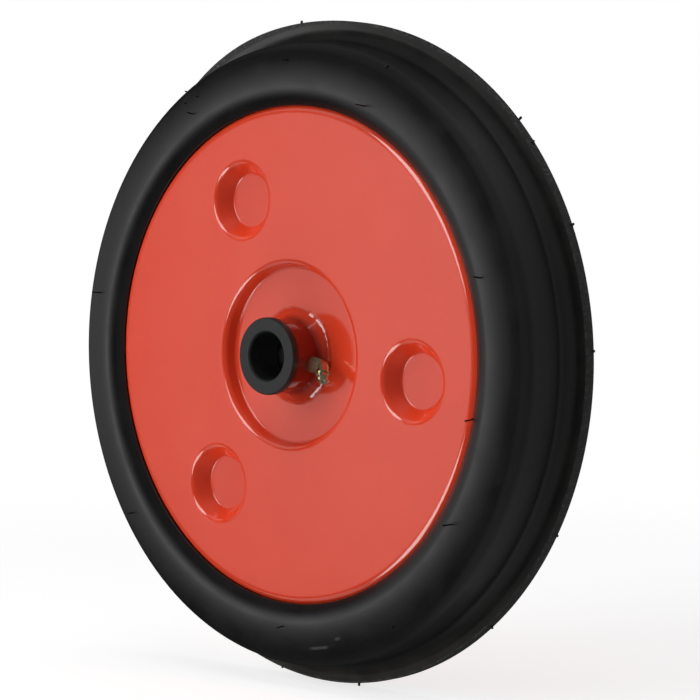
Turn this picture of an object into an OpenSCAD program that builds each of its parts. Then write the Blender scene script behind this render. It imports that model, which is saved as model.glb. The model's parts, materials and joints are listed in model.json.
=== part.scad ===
// Press wheel of a seed planter: a hollow lipped rubber tyre on a drum of two pressed
// steel discs, turning on two flanged bushes and greased through an angled nipple.
// The axle runs along Y, the front of the wheel faces -Y and the tyre's lip is at the rear.

/* [Drum] */
// Outer diameter of the drum that carries the tyre
drum_d = 265; // [250:1:290]
// Distance from the middle plane to the flat face of a disc
disc_face = 10.6; // [9.5:0.1:12]
// Sheet thickness of the pressed discs
sheet_t = 2.5; // [2:0.1:3]
// Outside radius of the rolled edge of a disc
edge_roll = 5; // [4:0.1:8]
// Half of the seam left between the skirts of the two discs
half_seam = 0.25; // [0.2:0.05:0.5]
// Inside radius of the pressed bends
bend_in = 1.2; // [0.8:0.1:1.6]

/* [Hub recess] */
// Diameter where the recess wall leaves the flat face
recess_top_d = 97; // [92:0.5:110]
// Width of the sloping recess wall, seen from the front
recess_wall = 2.2; // [2:0.1:4]
// Depth of the recess around the hub
recess_depth = 6.2; // [4:0.1:7]

/* [Dimples] */
// Number of dimples
dimple_count = 3; // [2:1:5]
// Diameter of the circle that the dimples lie on
dimple_pcd = 178; // [165:1:190]
// Diameter where a dimple's wall leaves the flat face
dimple_top_d = 41; // [36:0.5:46]
// Width of a dimple's sloping wall, seen from the front
dimple_wall = 6.2; // [4:0.1:8]
// Angle of the first dimple, up from the horizontal
dimple_angle = -7; // [-60:1:60]
// Diameter of the spot weld between two dimple floors
spot_d = 8; // [5:0.5:12]
// Depth of the spot weld in each sheet
spot_depth = 1; // [0.5:0.1:1.5]

/* [Tyre] */
// Height of the tread above the drum, at the foot of the lip
body_height = 33; // [31:0.5:37]
// Fall of the tread from the lip to the front shoulder
tread_taper = 2; // [0:0.1:4]
// Height of the lip above the tread
lip_height = 10.5; // [7:0.5:14]
// Width of the flat edge of the lip
lip_w = 6; // [4:0.5:8]
// Lean of the front face of the lip
lip_lean = 1.5; // [0.5:0.1:3]
// Distance from the middle plane to the front edge of the lip
lip_front = 18.5; // [16:0.5:21]
// Radius at the foot of the lip
lip_fillet = 4; // [2:0.5:5]
// Reach of the tyre's mouth inwards over the drum edge
mouth_overlap = 1.5; // [1:0.1:3]
// Height of the tyre's mouth in front of the disc face
mouth_rise = 0; // [0:0.1:2]
// Height of the front crest over the mouth
crest_rise = 3.9; // [3:0.1:6]
// Distance of the crest line from the mouth
crest_in = 5.5; // [5:0.5:7]
// Rounding of the front crest
crest_r = 14; // [8:1:16]
// Distance of the brow, where the front face starts to fall, from the mouth
brow_in = 19; // [18:0.5:20]
// Rounding of the brow
brow_r = 50; // [30:1:54]
// Fall of the front face from the brow to the shoulder
shoulder_fall = 3.8; // [2:0.1:4]
// Rounding of the front shoulder
shoulder_r = 8; // [6:0.5:9]
// Distance of the rear bend from the mouth
heel_in = 17; // [14:0.5:20]
// Rounding of the rear bend
heel_r = 14; // [8:0.5:16]
// Fall of the rear face from the lip to the rear bend
heel_fall = 1; // [0:0.1:3]
// Rounding of the tyre's sharp edges
tyre_edge = 0.8; // [0.5:0.1:1.2]
// Rubber thickness around the hollow
tyre_wall = 8; // [6:0.5:9]
// Rubber thickness of the feet over the drum
foot_t = 5.5; // [4:0.5:7]
// Width of the slot between the two feet
slot_w = 6; // [4:0.5:7]
// Clearance between the tyre and the drum
seat_gap = 0.2; // [0.1:0.05:0.3]

/* [Hub] */
// Outer diameter of the hub tube
hub_od = 38; // [36:0.5:42]
// Inner diameter of the hub tube
hub_id = 30; // [29:0.5:32]
// Overall width across the two bush flanges
over_bushes = 53; // [50:1:60]
// Clearance between the hub tube and the hole in each disc
hub_gap = 0.1; // [0.05:0.05:0.2]
// Leg of the hub weld along the disc
weld_leg_disc = 4.5; // [3.5:0.1:6]
// Leg of the hub weld along the tube
weld_leg_tube = 2.2; // [1.8:0.1:3]
// Height of the weld's crown over the line between its toes
weld_crown = 0.6; // [0.3:0.1:0.9]
// Chamfer on the ends of the hub tube
hub_chamfer = 0.6; // [0.3:0.1:1]

/* [Bushes] */
// Diameter of the axle that the bushes take
axle_d = 25; // [22:0.5:26]
// Radial clearance between axle and bush
axle_gap = 0.1; // [0.05:0.05:0.3]
// Outer diameter of the bush flange
flange_d = 40.5; // [38:0.5:46]
// Thickness of the bush flange
flange_t = 4; // [3:0.5:6]
// Length of the sleeve inside the hub
sleeve_l = 16; // [14:0.5:18]
// Radial running clearance between sleeve and hub
run_gap = 0.08; // [0.02:0.01:0.1]
// Axial clearance between flange and hub tube
thrust_gap = 0.3; // [0.2:0.05:0.5]
// Rounding of the flange edge
flange_round = 0.8; // [0.5:0.1:1.4]
// Chamfer at the ends of the bush bore and sleeve
bush_chamfer = 0.8; // [0.4:0.1:1.2]
// Width of the grease groove around the sleeve
groove_w = 3; // [2:0.1:4]
// Depth of the grease groove
groove_depth = 0.8; // [0.4:0.1:1]

/* [Grease nipple] */
// Angle of the nipple around the hub, up from the horizontal
nipple_angle = -12.5; // [-30:0.5:30]
// Gap between the hub weld and the nipple's base
nipple_gap = 0.2; // [0.2:0.1:1]
// Turn of the nipple head from straight down towards the front
nipple_aim = 48; // [0:1:60]
// Angle between the nipple's base and its head
nipple_bend = 45; // [30:1:60]
// Diameter of the nipple's thread
thread_d = 6; // [5:0.5:6.5]
// Distance of the thread's end from the hub bore
thread_back = 0.5; // [0.3:0.1:1]
// Clearance around the thread
thread_gap = 0.05; // [0.02:0.01:0.1]
// Width across the flats of the nipple's base
base_af = 8; // [7:0.5:9]
// Height of the nipple's base
base_h = 8; // [5:0.5:9]
// Diameter of the round elbow on the base
elbow_d = 6.8; // [6.4:0.1:7.4]
// Length of the elbow from its bend to its end face
elbow_l = 5; // [4.5:0.5:7]
// Diameter of the head's shank inside the elbow
shank_d = 4.4; // [4:0.1:5]
// Length of the head's shank inside the elbow
shank_l = 3; // [2.5:0.1:3.5]
// Largest diameter of the head
head_d = 6.5; // [6:0.1:7]
// Diameter of the neck behind the head
neck_d = 4.9; // [4.6:0.1:5.5]
// Diameter of the head's tip
tip_d = 4.4; // [4:0.1:5]
// Length of the neck
neck_l = 2; // [1.5:0.1:3]
// Length of each cone of the head
cone_l = 1.2; // [0.8:0.1:1.8]
// Length of the widest part of the head
barrel_l = 0.9; // [0.5:0.1:1.5]
// Diameter of the grease channel
channel_d = 1.4; // [1:0.1:1.6]
// Diameter of the check ball
ball_d = 2.5; // [2.3:0.1:2.8]
// Diameter of the hole in the tip that the ball closes
tip_hole_d = 1.9; // [1.6:0.1:2]
// Thickness of the metal around the tip hole
tip_lip = 0.5; // [0.3:0.1:0.6]
// Clearance around the check ball
ball_gap = 0.08; // [0.03:0.01:0.1]
// Wire diameter of the ball spring
wire_d = 0.3; // [0.2:0.05:0.35]
// Number of turns of the ball spring
spring_turns = 6; // [4:1:8]

/* [Hidden] */
$fn = 96;

// Largest turn between two points of a rounded corner
arc_step = 7.5;
// Overshoot of cutting tools, and overlap of solids that are joined
cut = 1;
// Sides of the spring wire and rings along each of its turns
wire_sides = 6;
rings_per_turn = 16;

drum_r = drum_d / 2;
mouth_r = drum_r - mouth_overlap;
mouth_h = disc_face + mouth_rise;
recess_h = disc_face - recess_depth;
dimple_pitch = 360 / dimple_count;
hub_r = hub_od / 2;
hub_end = over_bushes / 2 - flange_t - thrust_gap;
bush_bore_r = axle_d / 2 + axle_gap;
sleeve_r = hub_id / 2 - run_gap;
base_r = base_af / sqrt(3);
nipple_h = recess_h + weld_leg_tube + nipple_gap + base_r;
head_l = neck_l + 2 * cone_l + barrel_l;
chamber_r = ball_d / 2 + ball_gap;
ball_seat = sqrt(pow(ball_d, 2) - pow(tip_hole_d, 2)) / 2;
ball_w = elbow_l + head_l - tip_lip - ball_seat - ball_gap / 2;
spring_seat = elbow_l - shank_l + wire_d;
coil_r = chamber_r - wire_d / 2 - ball_gap;
coil_top = ball_w - sqrt(pow(ball_d / 2 + wire_d / 2, 2) - pow(coil_r, 2)) - ball_gap / 2;

// Unit vector along v, and v turned a quarter to its left
function unit(v) = v / norm(v);
function left_of(v) = [-v.y, v.x];
function flat(corner) = [corner[0], corner[1]];

// Arc of radius r in place of corner b, between its neighbours a and c
function corner_arc(a, b, c, r) =
    r <= 0 ? [b] :
    let (
        u = unit(a - b),
        v = unit(c - b),
        half = acos(u * v) / 2,
        centre = b + unit(u + v) * r / sin(half),
        from = b + u * r / tan(half) - centre,
        to = b + v * r / tan(half) - centre,
        sweep = atan2(cross(from, to), from * to),
        start = atan2(from.y, from.x),
        steps = ceil(abs(sweep) / arc_step)
    )
    [for (i = [0:steps]) centre + r * [cos(start + sweep * i / steps), sin(start + sweep * i / steps)]];

// Closed outline through corners given as [x, y, radius]
function rounded(corners) =
    let (n = len(corners))
    [for (i = [0:n - 1])
        each corner_arc(
            flat(corners[(i + n - 1) % n]), flat(corners[i]), flat(corners[(i + 1) % n]), corners[i][2]
        )];

// Open path through corners given as [x, y, radius]
function rounded_path(corners) =
    let (last = len(corners) - 1)
    [for (i = [0:last])
        each (i == 0 || i == last ? [flat(corners[i])] :
            corner_arc(flat(corners[i - 1]), flat(corners[i]), flat(corners[i + 1]), corners[i][2]))];

// The path's corners moved t to its right, with bends that keep the same centres
function right_side(corners, t) =
    let (last = len(corners) - 1)
    [for (i = [0:last])
        let (
            p = flat(corners[i]),
            ahead = unit(flat(corners[min(i, last - 1) + 1]) - flat(corners[min(i, last - 1)])),
            behind = unit(flat(corners[max(i, 1)]) - flat(corners[max(i, 1) - 1])),
            n1 = left_of(behind),
            n2 = left_of(ahead),
            moved = p - t * (n1 + n2) / (1 + n1 * n2),
            bend = corners[i][2] + t * sign(cross(behind, ahead))
        )
        [moved.x, moved.y, max(bend, 0)]];

function reversed(list) = [for (i = [len(list) - 1:-1:0]) list[i]];

// Section of a pressed sheet of thickness t whose front surface follows the corners
function sheet_section(corners, t) = concat(
    rounded_path(corners),
    reversed(rounded_path(right_side(corners, t)))
);

// Side outline of the drum, grown by gap
function drum_outline(gap) =
    let (r = drum_r + gap, h = disc_face + gap, roll = edge_roll + gap)
    rounded([[hub_r, h, 0], [r, h, roll], [r, -h, roll], [hub_r, -h, 0]]);

// Points of a tube of radius r around a coil of radius coil, from height z0 to z1
function coil_points(coil, r, z0, z1, turns, rings) = [
    for (i = [0:rings], k = [0:wire_sides - 1])
    let (
        turn = 360 * turns * i / rings,
        side = 360 * k / wire_sides,
        reach = coil + r * cos(side)
    )
    [reach * cos(turn), reach * sin(turn), z0 + (z1 - z0) * i / rings + r * sin(side)]
];

// Turns the local Z axis onto the axle, with local up at the front of the wheel
module on_axle() {
    rotate([90, 0, 0]) children();
}

module at_rear() {
    mirror([0, 1, 0]) children();
}

module at_dimples() {
    for (i = [0:dimple_count - 1])
        rotate([0, 0, dimple_angle + i * dimple_pitch])
            translate([dimple_pcd / 2, 0, 0])
                children();
}

// Seat of the nipple on the hub tube, with Z pointing away from the axle
// and X the way that the head leans
module at_nipple() {
    on_axle()
        rotate([0, 0, nipple_angle])
            translate([hub_r, 0, nipple_h])
                rotate([0, 90, 0])
                    rotate([0, 0, -90 - nipple_aim])
                        children();
}

module at_head() {
    at_nipple()
        translate([0, 0, base_h])
            rotate([0, nipple_bend, 0])
                children();
}

// Tyre: an open-based hollow section whose two feet wrap the rolled edges of the drum
module tyre() {
    tread_r = drum_r + body_height;
    lip_r = tread_r + lip_height;
    crest_h = mouth_h + crest_rise;
    lip_rear = lip_front + lip_w;
    heel_h = lip_rear - heel_fall;
    mouth = [mouth_r, mouth_h, tyre_edge];
    crest = [mouth_r + crest_in, crest_h, crest_r];
    brow = [mouth_r + brow_in, crest_h, brow_r];
    shoulder = [tread_r - tread_taper, crest_h - shoulder_fall, shoulder_r];
    heel = [mouth_r + heel_in, -heel_h, heel_r];
    rear_mouth = [mouth_r, -mouth_h, tyre_edge];
    outline = [
        mouth, crest, brow, shoulder,
        [tread_r, lip_lean - lip_front, lip_fillet],
        [lip_r, -lip_front, tyre_edge],
        [lip_r, -lip_rear, tyre_edge],
        heel, rear_mouth
    ];
    carcass = [mouth, crest, brow, shoulder, [tread_r, -heel_h, shoulder_r], heel, rear_mouth];
    color("#2b2d2f")
        on_axle()
            rotate_extrude()
                difference() {
                    polygon(rounded(outline));
                    polygon(drum_outline(seat_gap));
                    intersection() {
                        polygon(rounded_path(right_side(carcass, tyre_wall)));
                        translate([drum_r + foot_t, -heel_h])
                            square([body_height, heel_h + crest_h]);
                    }
                    translate([drum_r, -slot_w / 2])
                        square([foot_t + cut, slot_w]);
                }
}

// Disc: pressed flat sheet with a rolled edge, a hub recess and dimples that reach the middle plane
module disc() {
    outer_bend = bend_in + sheet_t;
    recess_top_r = recess_top_d / 2;
    dimple_top_r = dimple_top_d / 2;
    dimple_edge_r = dimple_top_r + outer_bend;
    face = [
        [hub_r + hub_gap, recess_h, 0],
        [recess_top_r - recess_wall, recess_h, bend_in],
        [recess_top_r, disc_face, outer_bend],
        [drum_r, disc_face, edge_roll],
        [drum_r, half_seam, 0]
    ];
    dimple = [
        [0, sheet_t, 0],
        [dimple_top_r - dimple_wall, sheet_t, bend_in],
        [dimple_top_r, disc_face, outer_bend],
        [dimple_edge_r + cut, disc_face, 0]
    ];
    color("#c9412f")
        on_axle()
            difference() {
                union() {
                    difference() {
                        rotate_extrude() polygon(sheet_section(face, sheet_t));
                        at_dimples() cylinder(r = dimple_edge_r, h = disc_face + cut);
                    }
                    at_dimples() rotate_extrude() polygon(sheet_section(dimple, sheet_t));
                }
                at_dimples() translate([0, 0, -cut]) cylinder(d = spot_d, h = spot_depth + cut);
            }
}

module front_disc() {
    disc();
}

module rear_disc() {
    at_rear() disc();
}

module spot_welds() {
    color("#8a8d90")
        on_axle()
            at_dimples()
                cylinder(d = spot_d, h = 2 * spot_depth, center = true);
}

// Hub tube, tapped for the grease nipple
module hub_tube() {
    bore_r = hub_id / 2;
    color("#b93a2a")
        difference() {
            on_axle()
                rotate_extrude()
                    polygon([
                        [bore_r, hub_chamfer - hub_end],
                        [bore_r + hub_chamfer, -hub_end],
                        [hub_r - hub_chamfer, -hub_end],
                        [hub_r, hub_chamfer - hub_end],
                        [hub_r, hub_end - hub_chamfer],
                        [hub_r - hub_chamfer, hub_end],
                        [bore_r + hub_chamfer, hub_end],
                        [bore_r, hub_end - hub_chamfer]
                    ]);
            at_nipple()
                translate([0, 0, bore_r - hub_r - cut])
                    cylinder(d = thread_d + 2 * thread_gap, h = hub_r - bore_r + 2 * cut);
        }
}

// Crowned fillet weld between hub tube and disc
module hub_weld() {
    root = [hub_r, recess_h];
    legs = [weld_leg_disc, weld_leg_tube];
    crown = root + legs / 2 + weld_crown * unit([legs.y, legs.x]);
    color("#b4382a")
        on_axle()
            rotate_extrude()
                polygon(rounded([
                    [root.x, root.y, 0],
                    [root.x + legs.x, root.y, 0],
                    [crown.x, crown.y, weld_leg_disc],
                    [root.x, root.y + legs.y, 0]
                ]));
}

module front_hub_weld() {
    hub_weld();
}

module rear_hub_weld() {
    at_rear() hub_weld();
}

// Bush: a flange that bears on the fork and a grooved sleeve that the hub turns on
module bush() {
    outer_h = over_bushes / 2;
    inner_h = outer_h - flange_t;
    end_h = inner_h - sleeve_l;
    flange_r = flange_d / 2;
    groove_r = sleeve_r - groove_depth;
    color("#3a3d3c")
        on_axle()
            rotate_extrude()
                polygon(rounded([
                    [bush_bore_r, outer_h - bush_chamfer, 0],
                    [bush_bore_r + bush_chamfer, outer_h, 0],
                    [flange_r, outer_h, flange_round],
                    [flange_r, inner_h, flange_round / 2],
                    [sleeve_r, inner_h, 0],
                    [sleeve_r, nipple_h + groove_w / 2, 0],
                    [groove_r, nipple_h + groove_w / 2, 0],
                    [groove_r, nipple_h - groove_w / 2, 0],
                    [sleeve_r, nipple_h - groove_w / 2, 0],
                    [sleeve_r, end_h + bush_chamfer, 0],
                    [sleeve_r - bush_chamfer, end_h, 0],
                    [bush_bore_r, end_h, 0]
                ]));
}

module front_bush() {
    bush();
}

module rear_bush() {
    at_rear() bush();
}

// Nipple body: threaded hexagon base and an elbow that takes the head
module nipple_body() {
    thread_l = hub_r - sqrt(pow(hub_id / 2, 2) - pow(thread_d / 2, 2)) - thread_back;
    color("#b7a35c")
        difference() {
            union() {
                at_nipple() translate([0, 0, -thread_l]) cylinder(d = thread_d, h = thread_l + base_h / 2);
                at_nipple() cylinder(r = base_r, h = base_h, $fn = 6);
                at_nipple() translate([0, 0, base_h]) sphere(d = elbow_d);
                at_head() cylinder(d = elbow_d, h = elbow_l);
            }
            at_nipple()
                translate([0, 0, -thread_l - cut])
                    cylinder(d = channel_d, h = thread_l + base_h + cut);
            at_head() cylinder(d = channel_d, h = elbow_l);
            at_head() translate([0, 0, elbow_l - shank_l]) cylinder(d = shank_d, h = shank_l + cut);
        }
}

// Nipple head: the barrel that the grease gun grips, bored for ball and spring
module nipple_head() {
    tip_w = elbow_l + head_l;
    color("#c3b06a")
        at_head()
            rotate_extrude()
                polygon([
                    [channel_d / 2, elbow_l - shank_l],
                    [shank_d / 2, elbow_l - shank_l],
                    [shank_d / 2, elbow_l],
                    [neck_d / 2, elbow_l],
                    [neck_d / 2, elbow_l + neck_l],
                    [head_d / 2, elbow_l + neck_l + cone_l],
                    [head_d / 2, elbow_l + neck_l + cone_l + barrel_l],
                    [tip_d / 2, tip_w],
                    [tip_hole_d / 2, tip_w],
                    [tip_hole_d / 2, tip_w - tip_lip],
                    [chamber_r, tip_w - tip_lip],
                    [chamber_r, spring_seat - wire_d / 2],
                    [channel_d / 2, spring_seat - wire_d / 2]
                ]);
}

module nipple_ball() {
    color("#c8ccd0")
        at_head()
            translate([0, 0, ball_w])
                sphere(d = ball_d);
}

module nipple_spring() {
    rings = spring_turns * rings_per_turn;
    color("#9aa0a6")
        at_head()
            polyhedron(
                points = coil_points(coil_r, wire_d / 2, spring_seat, coil_top, spring_turns, rings),
                faces = concat(
                    [[for (k = [0:wire_sides - 1]) k]],
                    [for (i = [0:rings - 1], k = [0:wire_sides - 1])
                        let (a = i * wire_sides, b = a + wire_sides, next = (k + 1) % wire_sides)
                        [a + k, b + k, b + next, a + next]],
                    [[for (k = [wire_sides - 1:-1:0]) rings * wire_sides + k]]
                )
            );
}

tyre();
front_disc();
rear_disc();
spot_welds();
hub_tube();
front_hub_weld();
rear_hub_weld();
front_bush();
rear_bush();
nipple_body();
nipple_head();
nipple_ball();
nipple_spring();
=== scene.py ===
import bmesh
import bpy
import json
import math
from mathutils import Matrix, Vector, noise

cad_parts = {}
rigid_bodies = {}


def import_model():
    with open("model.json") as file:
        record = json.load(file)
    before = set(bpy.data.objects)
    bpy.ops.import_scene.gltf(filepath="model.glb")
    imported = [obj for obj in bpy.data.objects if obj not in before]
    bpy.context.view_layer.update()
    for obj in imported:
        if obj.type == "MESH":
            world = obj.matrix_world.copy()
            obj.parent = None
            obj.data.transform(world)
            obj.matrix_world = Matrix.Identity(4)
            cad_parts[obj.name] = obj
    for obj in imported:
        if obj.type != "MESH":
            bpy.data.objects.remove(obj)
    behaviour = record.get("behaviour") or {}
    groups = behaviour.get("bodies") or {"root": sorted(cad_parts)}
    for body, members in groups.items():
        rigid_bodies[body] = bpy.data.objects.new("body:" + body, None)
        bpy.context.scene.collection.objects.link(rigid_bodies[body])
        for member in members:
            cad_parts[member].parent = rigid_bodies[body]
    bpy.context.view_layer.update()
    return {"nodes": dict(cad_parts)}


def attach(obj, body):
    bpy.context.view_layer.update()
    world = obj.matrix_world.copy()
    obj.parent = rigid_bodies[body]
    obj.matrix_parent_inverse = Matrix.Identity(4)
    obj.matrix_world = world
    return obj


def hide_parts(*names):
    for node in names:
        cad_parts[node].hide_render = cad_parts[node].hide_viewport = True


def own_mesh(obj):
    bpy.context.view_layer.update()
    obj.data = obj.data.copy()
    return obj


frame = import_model()


# Hub tube: a cut length of steel tube through both discs, tapped for the grease nipple.
# It is welded in before painting, so it carries the discs' gloss red paint. On and next to the tube
# that paint is painted dark, painted shade that also covers the inner half of the weld beads.
# Its bore is left bare and is painted near black, as painted shade deep in the bore.
class Wire:
    """An output of a material's node; sums and products of wires add their Math nodes."""

    def __init__(self, tree, socket=None):
        self.tree = tree
        self.socket = socket

    def node(self, kind, settings=None, inputs=None, output=0):
        """Adds a shader node with its settings and inputs, and gives one of its outputs."""
        made = self.tree.nodes.new("ShaderNode" + kind)
        for name, value in (settings or {}).items():
            setattr(made, name, value)
        for name, value in (inputs or {}).items():
            if isinstance(value, Wire):
                self.tree.links.new(value.socket, made.inputs[name])
            else:
                made.inputs[name].default_value = value
        return Wire(self.tree, made.outputs[output] if made.outputs else None)

    def also(self, name):
        """Another output of the same node."""
        return Wire(self.tree, self.socket.node.outputs[name])

    def math(self, operation, first, second=0):
        """A Math node on wires or numbers."""
        return self.node("Math", {"operation": operation}, {0: first, 1: second})

    def __add__(self, other):
        return self.math("ADD", self, other)

    __radd__ = __add__

    def __sub__(self, other):
        return self.math("SUBTRACT", self, other)

    def __rsub__(self, other):
        return self.math("SUBTRACT", other, self)

    def __mul__(self, other):
        return self.math("MULTIPLY", self, other)

    __rmul__ = __mul__

    def ramp(self, low, high):
        """0 below low, 1 above high and a smooth rise between them."""
        edges = {"Value": self, "From Min": low, "From Max": high}
        return self.node("MapRange", {"interpolation_type": "SMOOTHSTEP"}, edges)

    def mix(self, none, full):
        """The colour none where this wire is 0, full where it is 1."""
        return self.node("Mix", {"data_type": "RGBA"}, {0: self, 6: none, 7: full}, 2)

    def noise(self, scale, detail=2.0, rough=0.5):
        """Noise over this position, about 0.5 in the mean."""
        grain = {"Vector": self, "Scale": scale, "Detail": detail, "Roughness": rough}
        return self.node("TexNoise", {}, grain)

    def from_axle(self):
        """How far this position is from the axle."""
        across = self.node("SeparateXYZ", {}, {"Vector": self})
        upward = across.also("Z")
        return self.math("SQRT", across * across + upward * upward)

    def bump(self, height, strength, distance, below=None):
        """A normal tilted by a height, on top of the normal below if there is one."""
        values = {"Height": height, "Strength": strength, "Distance": distance}
        if below:
            values["Normal"] = below
        return self.node("Bump", {}, values)


def new_finish(name):
    """A material with no nodes yet, its tree and the position on the object."""
    finish = bpy.data.materials.new(name)
    finish.use_nodes = True
    finish.node_tree.nodes.clear()
    tree = Wire(finish.node_tree)
    place = tree.node("TexCoord", output=3)
    return finish, tree, place


def coat_piece(piece, finish):
    """Gives a piece one finish all over."""
    piece.data.materials.clear()
    piece.data.materials.append(finish)


red = (0.565, 0.042, 0.015, 1)
red_deep = (0.55, 0.039, 0.013, 1)
# Painted shade: a dark red for the paint on and next to the hub tube.
red_painted_shade = (0.26, 0.016, 0.008, 1)
# Painted shade: near black for the inside of the bare bore.
bore_painted_shade = (0.006, 0.005, 0.004, 1)
red_paint, tree, place = new_finish("gloss_red_paint")
cloud = place.noise(28, 3).ramp(0.35, 0.65)
peel = place.noise(620, 1)
sag = place.noise(22, 1)
waves = tree.bump(sag, 0.12, 0.002)
skin = tree.bump(peel, 0.03, 0.0004, waves)
radius = place.from_axle()
past_tube = radius.ramp(0.0186, 0.0222)
past_bore = radius.ramp(0.0153, 0.0157)
coat = cloud.mix(red_deep, red)
# Painted shade: the paint darkens towards the hub tube and over the inner half of the weld beads.
coat = past_tube.mix(red_painted_shade, coat)
# Painted shade: the bore inside the tube is near black.
coat = past_bore.mix(bore_painted_shade, coat)
paint = tree.node("BsdfPrincipled", {}, {
    "Base Color": coat,
    "Roughness": 0.11 + 0.02 * cloud,
    "Normal": skin,
})
tree.node("OutputMaterial", {}, {"Surface": paint})
coat_piece(frame["nodes"]["hub_tube"], red_paint)


# Discs: two equal pressings of 2.5 mm sheet, back to back, with a rolled outer edge, a shallow
# recess around the hub and three round dimples whose floors meet at the middle plane.
mm = 0.001
touching = 1e-6
sheet = 2.5 * mm
disc_face = 10.6 * mm
disc_turns = 192
dimple_turns = 96
dimple_ring = 89 * mm
dimple_angles = [-7, 113, 233]


def rounded_path(bm, corners, closed=False):
    """A wire through corners [r, h, radius] in mm, rounded; h points to the front of the wheel."""
    verts = [bm.verts.new((r * mm, -h * mm, 0)) for r, h, radius in corners]
    for pair in zip(verts, verts[1:]):
        bm.edges.new(pair)
    if closed:
        bm.edges.new((verts[-1], verts[0]))
    count = len(corners)
    reaches = []
    for i, (r, h, radius) in enumerate(corners):
        before, after = corners[i - 1], corners[(i + 1) % count]
        back = Vector((before[0] - r, before[1] - h))
        ahead = Vector((after[0] - r, after[1] - h))
        reaches.append(radius / math.tan(back.angle(ahead) / 2) if radius else 0)
    for vert, reach, (r, h, radius) in zip(verts, reaches, corners):
        if radius:
            steps = max(4, min(14, round(radius * 2.5)))
            bmesh.ops.bevel(
                bm, geom=[vert], offset=reach * mm, offset_type="OFFSET", segments=steps,
                profile=0.5, affect="VERTICES", material=-1,
            )


def revolve(bm, steps):
    """Turns the wire right round the axle and joins what meets."""
    bmesh.ops.spin(
        bm, geom=bm.verts[:] + bm.edges[:], cent=(0, 0, 0), axis=(0, 1, 0),
        angle=math.tau, steps=steps, use_merge=True,
    )
    bmesh.ops.remove_doubles(bm, verts=bm.verts[:], dist=touching)


def to_object(name, bm, finish):
    """Puts a mesh into the scene as an object with one finish."""
    mesh = bpy.data.meshes.new(name)
    bm.to_mesh(mesh)
    bm.free()
    made = bpy.data.objects.new(name, mesh)
    bpy.context.scene.collection.objects.link(made)
    coat_piece(made, finish)
    return made


def new_piece(name, bm, finish, body="wheel", crease=40):
    """Makes the mesh a piece that rides on a body, smooth but for creases sharper than the angle."""
    for edge in bm.edges:
        edge.smooth = len(edge.link_faces) != 2 or edge.calc_face_angle(0) < math.radians(crease)
    for face in bm.faces:
        face.smooth = True
    piece = to_object(name, bm, finish)
    shading = piece.modifiers.new("shading", "WEIGHTED_NORMAL")
    shading.keep_sharp = True
    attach(piece, body)
    return piece


def spun(corners, steps):
    """A mesh of its own for one revolved part of a disc."""
    bm = bmesh.new()
    rounded_path(bm, corners)
    revolve(bm, steps)
    return bm


def add_to(bm, part, move):
    """Adds a copy of a part's mesh, moved."""
    mesh = bpy.data.meshes.new("part")
    part.to_mesh(mesh)
    mesh.transform(move)
    bm.from_mesh(mesh)
    bpy.data.meshes.remove(mesh)


def pressed_disc(name, node, mirrored):
    """Recess, rolled edge and dimples, joined by a flat face and thickened to the sheet."""
    bm = bmesh.new()
    recess = spun([(19.1, 4.4, 0), (46.3, 4.4, 1.2), (48.5, 10.6, 3.7), (54, 10.6, 0)], disc_turns)
    roll = spun([(122, 10.6, 0), (132.5, 10.6, 6), (132.5, 0.25, 0)], disc_turns)
    cup = spun([(0, 2.5, 0), (14.3, 2.5, 1.2), (20.5, 10.6, 3.7), (24.5, 10.6, 0)], dimple_turns)
    add_to(bm, recess, Matrix())
    add_to(bm, roll, Matrix())
    for angle in dimple_angles:
        turn = math.radians(angle)
        middle = Vector((math.cos(turn), 0, math.sin(turn))) * dimple_ring
        add_to(bm, cup, Matrix.Translation(middle))
    for part in (recess, roll, cup):
        part.free()
    rims = [
        edge for edge in bm.edges
        if edge.is_boundary and all(abs(v.co.y + disc_face) < touching for v in edge.verts)
    ]
    bmesh.ops.triangle_fill(bm, use_beauty=True, edges=rims, normal=(0, -1, 0))
    bmesh.ops.remove_doubles(bm, verts=bm.verts[:], dist=touching)
    if mirrored:
        bmesh.ops.scale(bm, vec=(1, -1, 1), verts=bm.verts[:])
    bmesh.ops.recalc_face_normals(bm, faces=bm.faces[:])
    outward = 1 if mirrored else -1
    if sum(f.normal.y * f.calc_area() for f in bm.faces) * outward < 0:
        bmesh.ops.reverse_faces(bm, faces=bm.faces[:])
    piece = new_piece(name, bm, red_paint)
    wall = piece.modifiers.new("sheet", "SOLIDIFY")
    wall.thickness = sheet
    wall.offset = -1
    wall.use_even_offset = True
    piece.modifiers.move(1, 0)
    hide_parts(node)


pressed_disc("front_pressing", "front_disc", False)
pressed_disc("rear_pressing", "rear_disc", True)


# Spot welds: nuggets of bare metal fused between the floors of facing dimples.
# They lie inside the two sheets, grey with a blue tint from the heat.
bare_weld, tree, place = new_finish("bare_weld_metal")
heat = place.noise(180, 2).ramp(0.3, 0.7)
metal = tree.node("BsdfPrincipled", {}, {
    "Base Color": heat.mix((0.32, 0.33, 0.36, 1), (0.5, 0.47, 0.42, 1)),
    "Metallic": 1.0,
    "Roughness": 0.35 + 0.2 * heat,
})
tree.node("OutputMaterial", {}, {"Surface": metal})
coat_piece(frame["nodes"]["spot_welds"], bare_weld)


# Hub welds: a rippled bead run round the hub tube on each disc, painted over with the rest.
# The bead swells and thins as the hand that laid it did, and its toe wanders. The front one is
# kept low under the grease nipple, so that its hexagon can turn.
weld_turns = 320
weld_foot = 19 * mm
weld_floor = 4.4 * mm
weld_width = 4.5 * mm
nipple_turn = math.radians(-12.5)
nipple_spread = 0.38
nipple_room = 0.44


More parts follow.
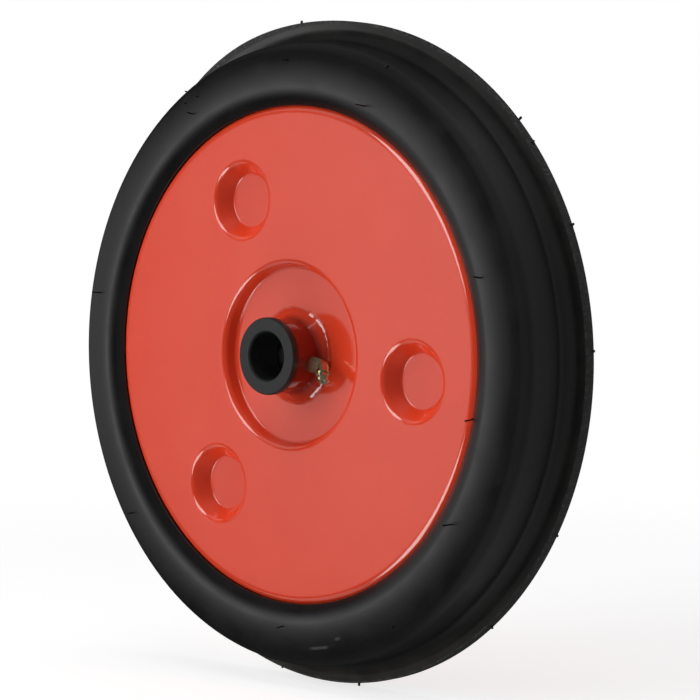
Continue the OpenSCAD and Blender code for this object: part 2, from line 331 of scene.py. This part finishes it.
def hub_bead(name, node, mirrored, seed):
    """The bead's section turned round the tube and then made uneven."""
    bm = bmesh.new()
    rounded_path(bm, [
        (19, 4.2, 0), (26.2, 4.2, 0), (26.2, 4.45, 0), (24.4, 4.7, 4), (19, 8.3, 0),
    ], closed=True)
    revolve(bm, weld_turns)
    bmesh.ops.recalc_face_normals(bm, faces=bm.faces[:])
    shift = Vector((seed, 0, 0))
    for vert in bm.verts:
        radial = Vector((vert.co.x, 0, vert.co.z))
        away = radial.normalized()
        around = math.atan2(vert.co.z, vert.co.x)
        outward = max(0, radial.length - weld_foot) / weld_width
        rise = max(0, -vert.co.y - weld_floor)
        proud = 1 if rise > 0.1 * mm else 0
        beside = (around - nipple_turn) / nipple_spread
        under_nipple = 0 if mirrored else math.exp(-beside ** 2)
        wander = noise.noise(away * 2.2 + shift)
        lump = noise.noise(away * 7.5 + shift * 2)
        pace = 34 * around + 5 * noise.noise(away * 2 - shift) - 2.2 * outward
        ripple = abs(math.sin(pace / 2)) - 0.6
        stray = 0.6 * wander + 0.2 * lump + 0.04 * ripple
        swell = 0.12 * lump + 0.04 * ripple
        vert.co += away * stray * mm * min(1, outward * 1.6)
        vert.co.y -= swell * mm * min(1, outward * 3) * proud
        vert.co.y += nipple_room * rise * under_nipple
    if mirrored:
        bmesh.ops.scale(bm, vec=(1, -1, 1), verts=bm.verts[:])
        bmesh.ops.reverse_faces(bm, faces=bm.faces[:])
    piece = new_piece(name, bm, red_paint, crease=60)
    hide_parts(node)


hub_bead("front_bead", "front_hub_weld", False, 1.7)
hub_bead("rear_bead", "rear_hub_weld", True, 8.2)


# Tyre: one moulding of black rubber, hollow, whose two feet wrap the rolled edges of the drum.
# The front is a soft round bulge, and a thick lip stands up around the rear.
tyre_turns = 256
lip_root = 164
lip_height = 12
sway_middle = 112
sway_spread = 22
tyre_section = [
    (131, 10.6, 0.8),
    (137, 15, 13),
    (149, 15, 50),
    (163.5, 10.7, 8),
    (165.5, -17, 8),
    (176, -18.5, 0.8),
    (176, -24.5, 0.8),
    (148, -23.5, 14),
    (131, -10.6, 0.8),
    (131, -9.45, 0),
    (132.7, -7.9, 5.2),
    (132.7, -3, 0),
    (138, -3, 0.6),
    (138, -5.87, 1.5),
    (150.7, -15.5, 3),
    (157.5, -15.5, 3),
    (155.9, 4.5, 3),
    (148.9, 6.5, 6),
    (138, 6.5, 1),
    (138, 3, 0.6),
    (132.7, 3, 0),
    (132.7, 7.9, 5.2),
    (131, 9.45, 0),
]


def lip_sway(angle):
    """How far the soft lip stands out and forward of true at an angle, in mm."""
    raised = math.exp(-((angle - sway_middle) / sway_spread) ** 2)
    return 2.8 * raised, 4 * raised


black_rubber, tree, place = new_finish("moulded_black_rubber")
across = tree.node("SeparateXYZ", {}, {"Vector": place})
along = across.also("Y")
upward = across.also("Z")
radius = place.from_axle()
land = radius.ramp(0.1748, 0.1758)
mottle = place.noise(55, 4, 0.6).ramp(0.35, 0.7)
grit = place.noise(900, 3, 0.6)
crumbs = place.noise(420, 3, 0.7).ramp(0.45, 0.75)
soft = mottle.mix((0.003, 0.003, 0.0032, 1), (0.005, 0.005, 0.005, 1))
rough_land = crumbs.mix((0.02, 0.02, 0.02, 1), (0.075, 0.074, 0.07, 1))
streaks = 0
for ring, middle, half in ((0.1537, 0.028, 0.0105), (0.1504, 0.0415, 0.0045)):
    beside = tree.math("ABSOLUTE", radius - ring).ramp(0.0004, 0.0011)
    past = tree.math("ABSOLUTE", across - middle).ramp(half * 0.5, half)
    streaks = streaks + (1 - beside) * (1 - past)
low_down = (0 - upward).ramp(0.1, 0.12)
in_front = (0 - along).ramp(0.005, 0.01)
scuffed = streaks * low_down * in_front * mottle.ramp(0.0, 0.5)
soft = scuffed.mix(soft, (0.04, 0.04, 0.037, 1))
on_lip = radius.ramp(0.166, 0.171)
# The lip is paler all round, painted light for the light the tyre's body keeps off its face, and paler
# still towards the bottom, where dust has settled.
painted_light_and_settled_dust = 0.4 + 0.6 * (0 - upward).ramp(0.1, 0.16)
dust_and_painted_light = on_lip * painted_light_and_settled_dust * (0.4 + 0.6 * mottle)
soft = dust_and_painted_light.mix(soft, (0.022, 0.02, 0.017, 1))
fine = tree.bump(grit, 0.12, 0.0003)
torn = tree.bump(crumbs * land, 0.5, 0.0006, fine)
rubber = tree.node("BsdfPrincipled", {}, {
    "Base Color": land.mix(soft, rough_land),
    "Roughness": 0.33 + 0.06 * mottle + 0.25 * land,
    "Specular IOR Level": 0.9,
    "Normal": torn,
})
tree.node("OutputMaterial", {}, {"Surface": rubber})
bm = bmesh.new()
rounded_path(bm, tyre_section, closed=True)
revolve(bm, tyre_turns)
bmesh.ops.recalc_face_normals(bm, faces=bm.faces[:])
for vert in bm.verts:
    radial = Vector((vert.co.x, 0, vert.co.z))
    free = max(0, min(1, (radial.length / mm - lip_root) / lip_height))
    out, forward = lip_sway(math.degrees(math.atan2(vert.co.z, vert.co.x)) % 360)
    vert.co += (radial.normalized() * out - Vector((0, forward, 0))) * free * mm
tyre = new_piece("lipped_tyre", bm, black_rubber, crease=50)
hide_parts("tyre")


# Vent whiskers: threads of rubber that the mould's vents leave standing on the tyre's front, some
# long and bent, some torn off to a stub. Ragged nibs of flash stand around the edge of the lip.
sunk = 0.4
whisker_thick = 0.4 * mm
nib_thick = 0.7 * mm
lip_rim = 175.6
# Angle in degrees, then radius, height above the middle plane and length in mm.
front_whiskers = [
    (65, 141, 14.9, 6), (17, 142.6, 14.9, 4.5), (348, 131.6, 11.1, 6), (326, 142.4, 14.9, 7),
    (168, 150.6, 14.1, 4.5), (89, 154.3, 13.3, 3.5), (118, 146, 14.8, 3.8), (217.5, 150.5, 14.1, 3.5),
    (270, 142.7, 14.9, 3.5), (300, 155.8, 12.9, 1.5), (65, 163.3, 7.1, 2.5), (113.5, 158.2, 12.1, 0.9),
    (119.5, 163, 8.5, 0.9), (115.5, 153.3, 13.5, 0.9), (119.3, 154.8, 13.2, 0.9),
]
# Angle in degrees, then place along the axle and length in mm.
lip_nibs = [
    (95.5, 19.5, 1.5), (43, 23.5, 2.2), (38, 22.5, 1.6), (22.5, 23.5, 2), (2, 23, 1.2),
    (277.5, 20, 1.8), (248, 20.5, 1.2), (258.5, 20, 1.2), (140, 21, 1), (187, 22, 1.2),
    (310, 22, 1.4), (331, 23, 1),
]


def whisker(bm, foot, out, length, thick, bend):
    """A bent thread of rubber from its foot, leaning out of the surface."""
    thread = bmesh.new()
    bmesh.ops.create_circle(thread, cap_ends=True, segments=7, radius=thick)
    reach = length / bend
    bmesh.ops.spin(
        thread, geom=thread.verts[:] + thread.edges[:] + thread.faces[:],
        cent=(0, reach, 0), axis=(-1, 0, 0), angle=bend, steps=5,
    )
    bmesh.ops.recalc_face_normals(thread, faces=thread.faces[:])
    lean = out.to_track_quat("Z", "X").to_matrix().to_4x4()
    add_to(bm, thread, Matrix.Translation(foot) @ lean)
    thread.free()


bm = bmesh.new()
for number, (angle, r, h, length) in enumerate(front_whiskers):
    turn = math.radians(angle)
    out = Vector((0.12 * math.cos(turn), -1, 0.12 * math.sin(turn) + 0.1 * math.sin(number * 2.3)))
    foot = Vector((r * math.cos(turn), sunk - h, r * math.sin(turn))) * mm
    bend = 0.35 + 0.2 * math.sin(number * 1.7)
    whisker(bm, foot, out, (length + sunk) * mm, whisker_thick, bend)
for number, (angle, h, length) in enumerate(lip_nibs):
    turn = math.radians(angle)
    out = Vector((math.cos(turn), 0.3 * math.sin(number * 1.9), math.sin(turn)))
    outward, forward = lip_sway(angle)
    rim = lip_rim + outward
    foot = Vector((rim * math.cos(turn), h - forward, rim * math.sin(turn))) * mm
    whisker(bm, foot, out, (0.8 * length + sunk) * mm, nib_thick, 0.5)
new_piece("vent_whiskers", bm, black_rubber)


# Bushes: turned from black plastic, each with a flange that bears on the fork
# and a grooved sleeve that the hub turns on. They stay with the axle.
bush_turns = 160
black_plastic, tree, place = new_finish("turned_black_plastic")
tool_marks = {"W": place.from_axle(), "Scale": 2600, "Detail": 1.0}
rings = tree.node("TexNoise", {"noise_dimensions": "1D"}, tool_marks)
haze = place.noise(140, 3).ramp(0.3, 0.7)
plastic = tree.node("BsdfPrincipled", {}, {
    "Base Color": haze.mix((0.012, 0.0125, 0.0125, 1), (0.018, 0.019, 0.019, 1)),
    "Roughness": 0.42 + 0.1 * haze,
    "Normal": tree.bump(rings, 0.12, 0.0002),
})
tree.node("OutputMaterial", {}, {"Surface": plastic})


def flanged_bush(name, node, mirrored):
    """Flange, grooved sleeve and bore in one turned section."""
    bm = bmesh.new()
    rounded_path(bm, [
        (12.6, 25.7, 0.3), (13.4, 26.5, 0.3), (20.25, 26.5, 0.8), (20.25, 22.5, 0.4),
        (14.92, 22.5, 0.2), (14.92, 12.92, 0), (14.12, 12.92, 0.2), (14.12, 9.92, 0.2), (14.92, 9.92, 0),
        (14.92, 7.3, 0.2), (14.12, 6.5, 0.2), (12.6, 6.5, 0.2),
    ], closed=True)
    revolve(bm, bush_turns)
    if mirrored:
        bmesh.ops.scale(bm, vec=(1, -1, 1), verts=bm.verts[:])
    bmesh.ops.recalc_face_normals(bm, faces=bm.faces[:])
    piece = new_piece(name, bm, black_plastic, "bushes", crease=50)
    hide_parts(node)


flanged_bush("front_flanged_bush", "front_bush", False)
flanged_bush("rear_flanged_bush", "rear_bush", True)


# Grease nipple: yellow zinc on steel, a hexagon base with a round elbow screwed into the hub
# and a pressed-in head. A ball closes the head's tip, with a coil spring behind it.
yellow_zinc, tree, place = new_finish("yellow_zinc_plate")
tint = place.noise(350, 2).ramp(0.3, 0.7)
zinc = tree.node("BsdfPrincipled", {}, {
    "Base Color": tint.mix((0.54, 0.48, 0.29, 1), (0.66, 0.6, 0.4, 1)),
    "Metallic": 1.0,
    "Roughness": 0.2 + 0.05 * tint,
})
tree.node("OutputMaterial", {}, {"Surface": zinc})
ball_steel, tree, place = new_finish("polished_ball_steel")
smear = place.noise(900, 2).ramp(0.4, 0.7)
steel = tree.node("BsdfPrincipled", {}, {
    "Base Color": smear.mix((0.74, 0.75, 0.77, 1), (0.62, 0.62, 0.6, 1)),
    "Metallic": 1.0,
    "Roughness": 0.1 + 0.15 * smear,
})
tree.node("OutputMaterial", {}, {"Surface": steel})
for node in ("nipple_body", "nipple_head"):
    coat_piece(frame["nodes"][node], yellow_zinc)
for node in ("nipple_ball", "nipple_spring"):
    coat_piece(frame["nodes"][node], ball_steel)
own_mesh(frame["nodes"]["nipple_spring"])


# Floor: a plain pale table top on which the wheel stands, lit from both sides like the
# translucent table of a product studio, and a white backdrop without an edge.
floor_level = -0.1762
floor_finish, tree, place = new_finish("pale_table")
rays = tree.node("LightPath")
shown = tree.math("MAXIMUM", rays, rays.also("Is Glossy Ray"))
shown = tree.math("MAXIMUM", shown, rays.also("Is Transmission Ray"))
far = tree.node("VectorMath", {"operation": "LENGTH"}, {0: place}, 1).ramp(0.3, 1.1)
matt = tree.node("BsdfDiffuse", {}, {"Color": (0.6, 0.6, 0.6, 1)})
glow = tree.node("Emission", {}, {"Color": (1, 1, 1, 1), "Strength": 0.72})
lit = tree.node("AddShader", {}, {0: matt, 1: glow})
white = tree.node("Emission", {}, {"Color": (1, 1, 1, 1), "Strength": 1.0})
seen = tree.node("MixShader", {}, {0: far, 1: lit, 2: white})
table = tree.node("MixShader", {}, {0: shown, 1: matt, 2: seen})
tree.node("OutputMaterial", {}, {"Surface": table})
bm = bmesh.new()
bmesh.ops.create_grid(bm, x_segments=1, y_segments=1, size=6)
bmesh.ops.translate(bm, vec=(0, 0, floor_level), verts=bm.verts[:])
floor = to_object("floor", bm, floor_finish)
floor.visible_shadow = False
floor.visible_glossy = False
world = bpy.data.worlds.new("studio")
bpy.context.scene.world = world
world.use_nodes = True
world.node_tree.nodes.clear()
tree = Wire(world.node_tree)
white = tree.node("Background", {}, {"Color": (1, 1, 1, 1), "Strength": 1.0})
tree.node("OutputWorld", {}, {"Surface": white})


# Studio: a grey tent around the wheel whose cloth is lit from the left, broad soft fills from the
# front, from overhead and from behind, and small lamps flagged so that only the paint shows them.
def direction(azimuth, elevation):
    """Unit vector to a place around the wheel: 0 is the front, 90 the right, in degrees."""
    a, e = math.radians(azimuth), math.radians(elevation)
    return Vector((math.sin(a) * math.cos(e), -math.cos(a) * math.cos(e), math.sin(e)))


def softbox(name, azimuth, elevation, distance, width, height, radiance):
    """A soft rectangular lamp that looks at the middle of the wheel; sizes are in metres."""
    lamp = bpy.data.lights.new(name, "AREA")
    lamp.shape = "RECTANGLE"
    lamp.size = width
    lamp.size_y = height
    lamp.energy = radiance * math.pi * width * height
    box = bpy.data.objects.new(name, lamp)
    bpy.context.scene.collection.objects.link(box)
    out = direction(azimuth, elevation)
    box.location = out * distance
    box.rotation_mode = "QUATERNION"
    box.rotation_quaternion = (-out).to_track_quat("-Z", "Y")
    box.visible_camera = False
    return box


broad_fills = [
    softbox("front_fill", -24, 0, 1.8, 1.3, 3.0, 3.75),
    softbox("overhead_fill", 0, 82, 1.6, 1.2, 1.2, 1.2),
]
for fill in broad_fills:
    fill.visible_glossy = False
whole = bpy.data.collections.new("whole")
for piece in bpy.data.objects:
    if piece.type == "MESH" and piece != floor:
        whole.objects.link(piece)
rear_fill = softbox("rear_fill", 195, 8, 1.8, 1.3, 2.0, 4.2)
rear_fill.visible_glossy = False
rear_fill.light_linking.receiver_collection = whole
discs = bpy.data.collections.new("discs")
for name in ("front_pressing", "rear_pressing"):
    discs.objects.link(bpy.data.objects[name])
disc_fills = [
    softbox("upper_fill", -10, 72, 1.6, 1.2, 1.2, 3),
    softbox("under_fill", -10, -72, 1.6, 1.2, 1.2, 3.5),
]
for fill in disc_fills:
    fill.visible_glossy = False
    fill.light_linking.receiver_collection = discs
side_lamps = [
    softbox("high_side_lamp", -65, 46, 1.6, 1.4, 0.9, 0.9),
    softbox("low_side_lamp", -65, -46, 1.6, 1.4, 0.9, 0.9),
]
for lamp in side_lamps:
    lamp.visible_diffuse = False
    lamp.light_linking.receiver_collection = discs
painted = bpy.data.collections.new("painted")
for name in ("front_pressing", "rear_pressing", "front_bead", "rear_bead"):
    painted.objects.link(bpy.data.objects[name])
for node in ("hub_tube", "nipple_body", "nipple_head"):
    painted.objects.link(frame["nodes"][node])
paint_lamps = [
    softbox("upper_lamp", -16, 24, 1.6, 0.5, 1.0, 9),
    softbox("lower_lamp", -16, -29, 1.6, 0.5, 0.9, 9),
]
for lamp in paint_lamps:
    lamp.visible_diffuse = False
    lamp.light_linking.receiver_collection = painted
tent_finish, tree, place = new_finish("grey_tent_cloth")
outward = tree.node("VectorMath", {"operation": "NORMALIZE"}, {0: place})
across = tree.node("SeparateXYZ", {}, {"Vector": outward})
upward = across.also("Z")
leftward = math.degrees(1) * tree.math("ARCTAN2", 0 - across, 0 - across.also("Y"))
near = leftward.ramp(14, 40)
far = 0.78 * leftward.ramp(40, 58) + 0.2 * leftward.ramp(78, 104)
level = tree.math("ABSOLUTE", upward).ramp(0.1, 0.42)
room = near * (1 - far) * (1 - level)
front = 1 - tree.math("ABSOLUTE", leftward + 42).ramp(16, 42)
right = (0 - leftward).ramp(50, 110)
above = upward.ramp(0.45, 0.85)
below = (0 - upward).ramp(0.45, 0.85)
shine = 0.015 + 0.12 * front + 1.4 * room + 0.16 * right + 0.1 * above + 0.05 * below
cloth = tree.node("Emission", {}, {"Color": shine, "Strength": 1.0})
tree.node("OutputMaterial", {}, {"Surface": cloth})
bm = bmesh.new()
bmesh.ops.create_uvsphere(bm, u_segments=72, v_segments=36, radius=3)
tent = to_object("tent", bm, tent_finish)
tent.visible_camera = False


# Camera: a long lens at the photograph's place, a little above the middle of the wheel and
# 44 degrees round to the right, as fitted to the outlines of the disc, the tyre and the bush.
view_azimuth, view_elevation = 43.6, 2.34
view_distance = 1.262
aim_forward = 0.01
shift_right, shift_up = 0.0324, 0.00277
sensor = 36
focal_pixels, photo_pixels = 2400, 700
back = direction(view_azimuth, view_elevation)
right = direction(view_azimuth + 90, 0)
over = back.cross(right)
lens = bpy.data.cameras.new("camera")
lens.sensor_width = sensor
lens.lens = sensor * focal_pixels / photo_pixels
camera = bpy.data.objects.new("camera", lens)
bpy.context.scene.collection.objects.link(camera)
stand = right * shift_right + over * shift_up + back * view_distance - Vector((0, aim_forward, 0))
turned = Matrix((right, over, back)).transposed().to_4x4()
camera.matrix_world = Matrix.Translation(stand) @ turned
bpy.context.scene.camera = camera
bpy.context.scene.view_settings.view_transform = "Standard"
